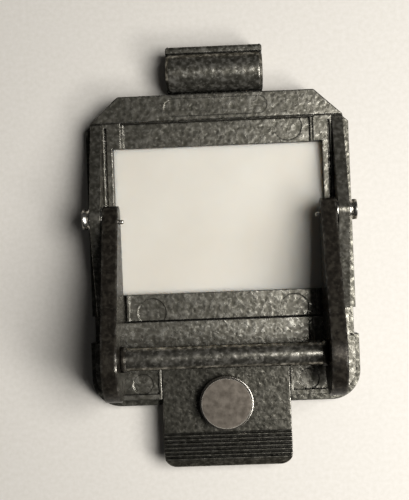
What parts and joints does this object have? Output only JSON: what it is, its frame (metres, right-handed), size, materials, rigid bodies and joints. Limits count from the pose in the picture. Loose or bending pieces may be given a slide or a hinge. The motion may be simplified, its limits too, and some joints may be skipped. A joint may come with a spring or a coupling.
{
  "type": "slide duplicator stage",
  "caption": "Cast slide duplicator stage with an opal window, a swinging bail, a sliding slide rest clamped by a knurled knob, and a barrel block at its head.",
  "frame": {"origin": "middle of the underside, on the surface that the stage lies on", "axes": "+Z out of the stage face, +Y towards the head and its barrel block, +X to the right"},
  "size_m": [0.074, 0.1146, 0.0326],
  "materials": {
    "hammer_enamel": "hammertone enamel on die-cast metal",
    "arm_enamel": "smooth satin enamel, worn at the edges",
    "bar_enamel": "glossy enamel with a faint hammer texture",
    "bright_steel": "turned steel, nickel plated",
    "satin_knob": "satin grey top, finely knurled rim",
    "brass": "turned brass",
    "opal_acrylic": "opal white acrylic sheet",
    "black_anodised": "black anodised"
  },
  "bodies": {
    "stage": {"stage_frame": "hammer_enamel", "rear_shell": "hammer_enamel", "name_plate": "hammer_enamel", "name_plate_screws": "bright_steel", "case_screws": "bright_steel", "opal_window": "opal_acrylic", "diffuser_retainer": "black_anodised", "diffuser_screws": "bright_steel", "left_cheek": "hammer_enamel", "right_cheek": "hammer_enamel", "cheek_screws": "bright_steel", "barrel_block": "hammer_enamel", "barrel_screws": "bright_steel", "left_pivot_pin": "bright_steel", "right_pivot_pin": "bright_steel", "pivot_washers": "bright_steel", "clamp_bush": "brass", "camera_bush": "brass"},
    "bail": {"left_arm": "arm_enamel", "right_arm": "arm_enamel", "arm_nubs": "bright_steel", "cross_bar": "bar_enamel", "bar_collars": "arm_enamel", "bar_screws": "bright_steel", "pivot_bushes": "brass"},
    "rest": {"slide_rest": "hammer_enamel"},
    "clamp": {"clamp_screw": "bright_steel", "clamp_knob": "satin_knob", "knob_washer": "bright_steel"}
  },
  "joints": [
    {"name": "bail_swing", "type": "hinge", "parent": "stage", "child": "bail", "pos_m": [0, 0.01095, 0.015], "axis": [-1, 0, 0], "range_deg": [0, 150]},
    {"name": "rest_slide", "type": "slide", "parent": "stage", "child": "rest", "axis": [0, -1, 0], "range_m": [0, 0.004]},
    {"name": "clamp_turn", "type": "hinge", "parent": "stage", "child": "clamp", "pos_m": [0, -0.03945, 0.009], "axis": [0, 0, 1], "range_deg": [0, 270]}
  ]
}
